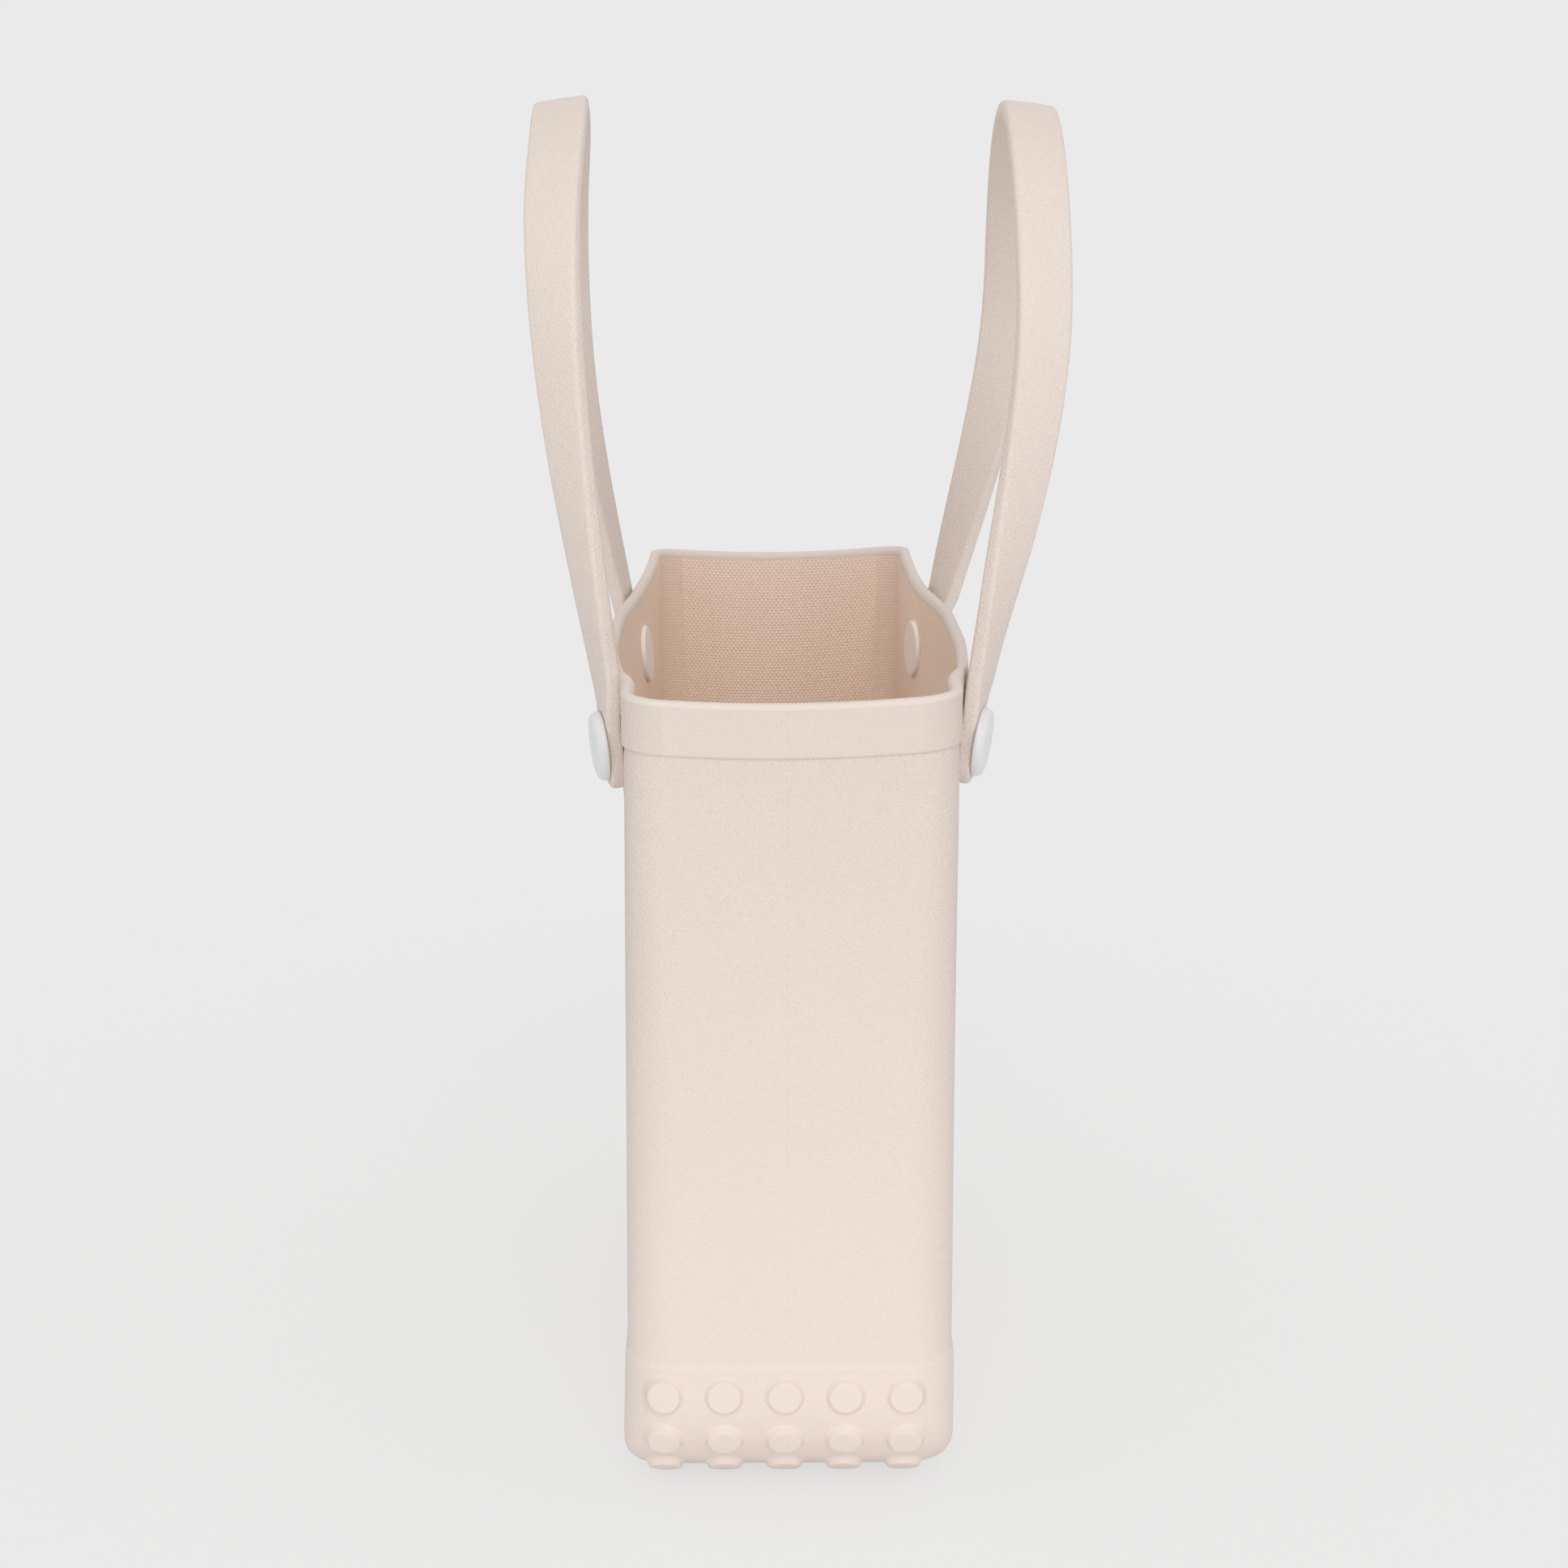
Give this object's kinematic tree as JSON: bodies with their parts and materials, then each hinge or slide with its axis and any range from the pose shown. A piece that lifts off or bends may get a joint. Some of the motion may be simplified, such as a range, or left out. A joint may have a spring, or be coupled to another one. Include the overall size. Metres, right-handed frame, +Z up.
{
  "type": "tote bag",
  "caption": "Open-topped moulded foam tote bag with a studded base and foam straps that are riveted to its long walls and fold down.",
  "frame": {"origin": "on the ground, under the middle foot of the base", "axes": "+Z up, Y along the bag's long walls with the pictured end at -Y, X across the bag from the left strap to the right strap"},
  "size_m": [0.2312, 0.387, 0.5549],
  "materials": {
    "foam_body": "matte, finely grained",
    "foam_strap": "matte, sandy grain",
    "rivet_plastic": "smooth white"
  },
  "bodies": {
    "bag": {"bag_body": "foam_body", "strap_end_left_near": "foam_strap", "strap_end_left_far": "foam_strap", "strap_end_right_near": "foam_strap", "strap_end_right_far": "foam_strap", "rivet_cap_left_near": "rivet_plastic", "rivet_cap_left_far": "rivet_plastic", "rivet_cap_right_near": "rivet_plastic", "rivet_cap_right_far": "rivet_plastic", "rivet_socket_left_near": "rivet_plastic", "rivet_socket_left_far": "rivet_plastic", "rivet_socket_right_near": "rivet_plastic", "rivet_socket_right_far": "rivet_plastic"},
    "left_strap": {"strap_loop_left": "foam_strap"},
    "right_strap": {"strap_loop_right": "foam_strap"}
  },
  "joints": [
    {"name": "left_strap_fold", "type": "hinge", "parent": "bag", "child": "left_strap", "pos_m": [-0.08107, 0, 0.32936], "axis": [0, -1, 0], "range_deg": [-20, 135]},
    {"name": "right_strap_fold", "type": "hinge", "parent": "bag", "child": "right_strap", "pos_m": [0.08187, 0, 0.32922], "axis": [0, 1, 0], "range_deg": [-22, 130]}
  ]
}
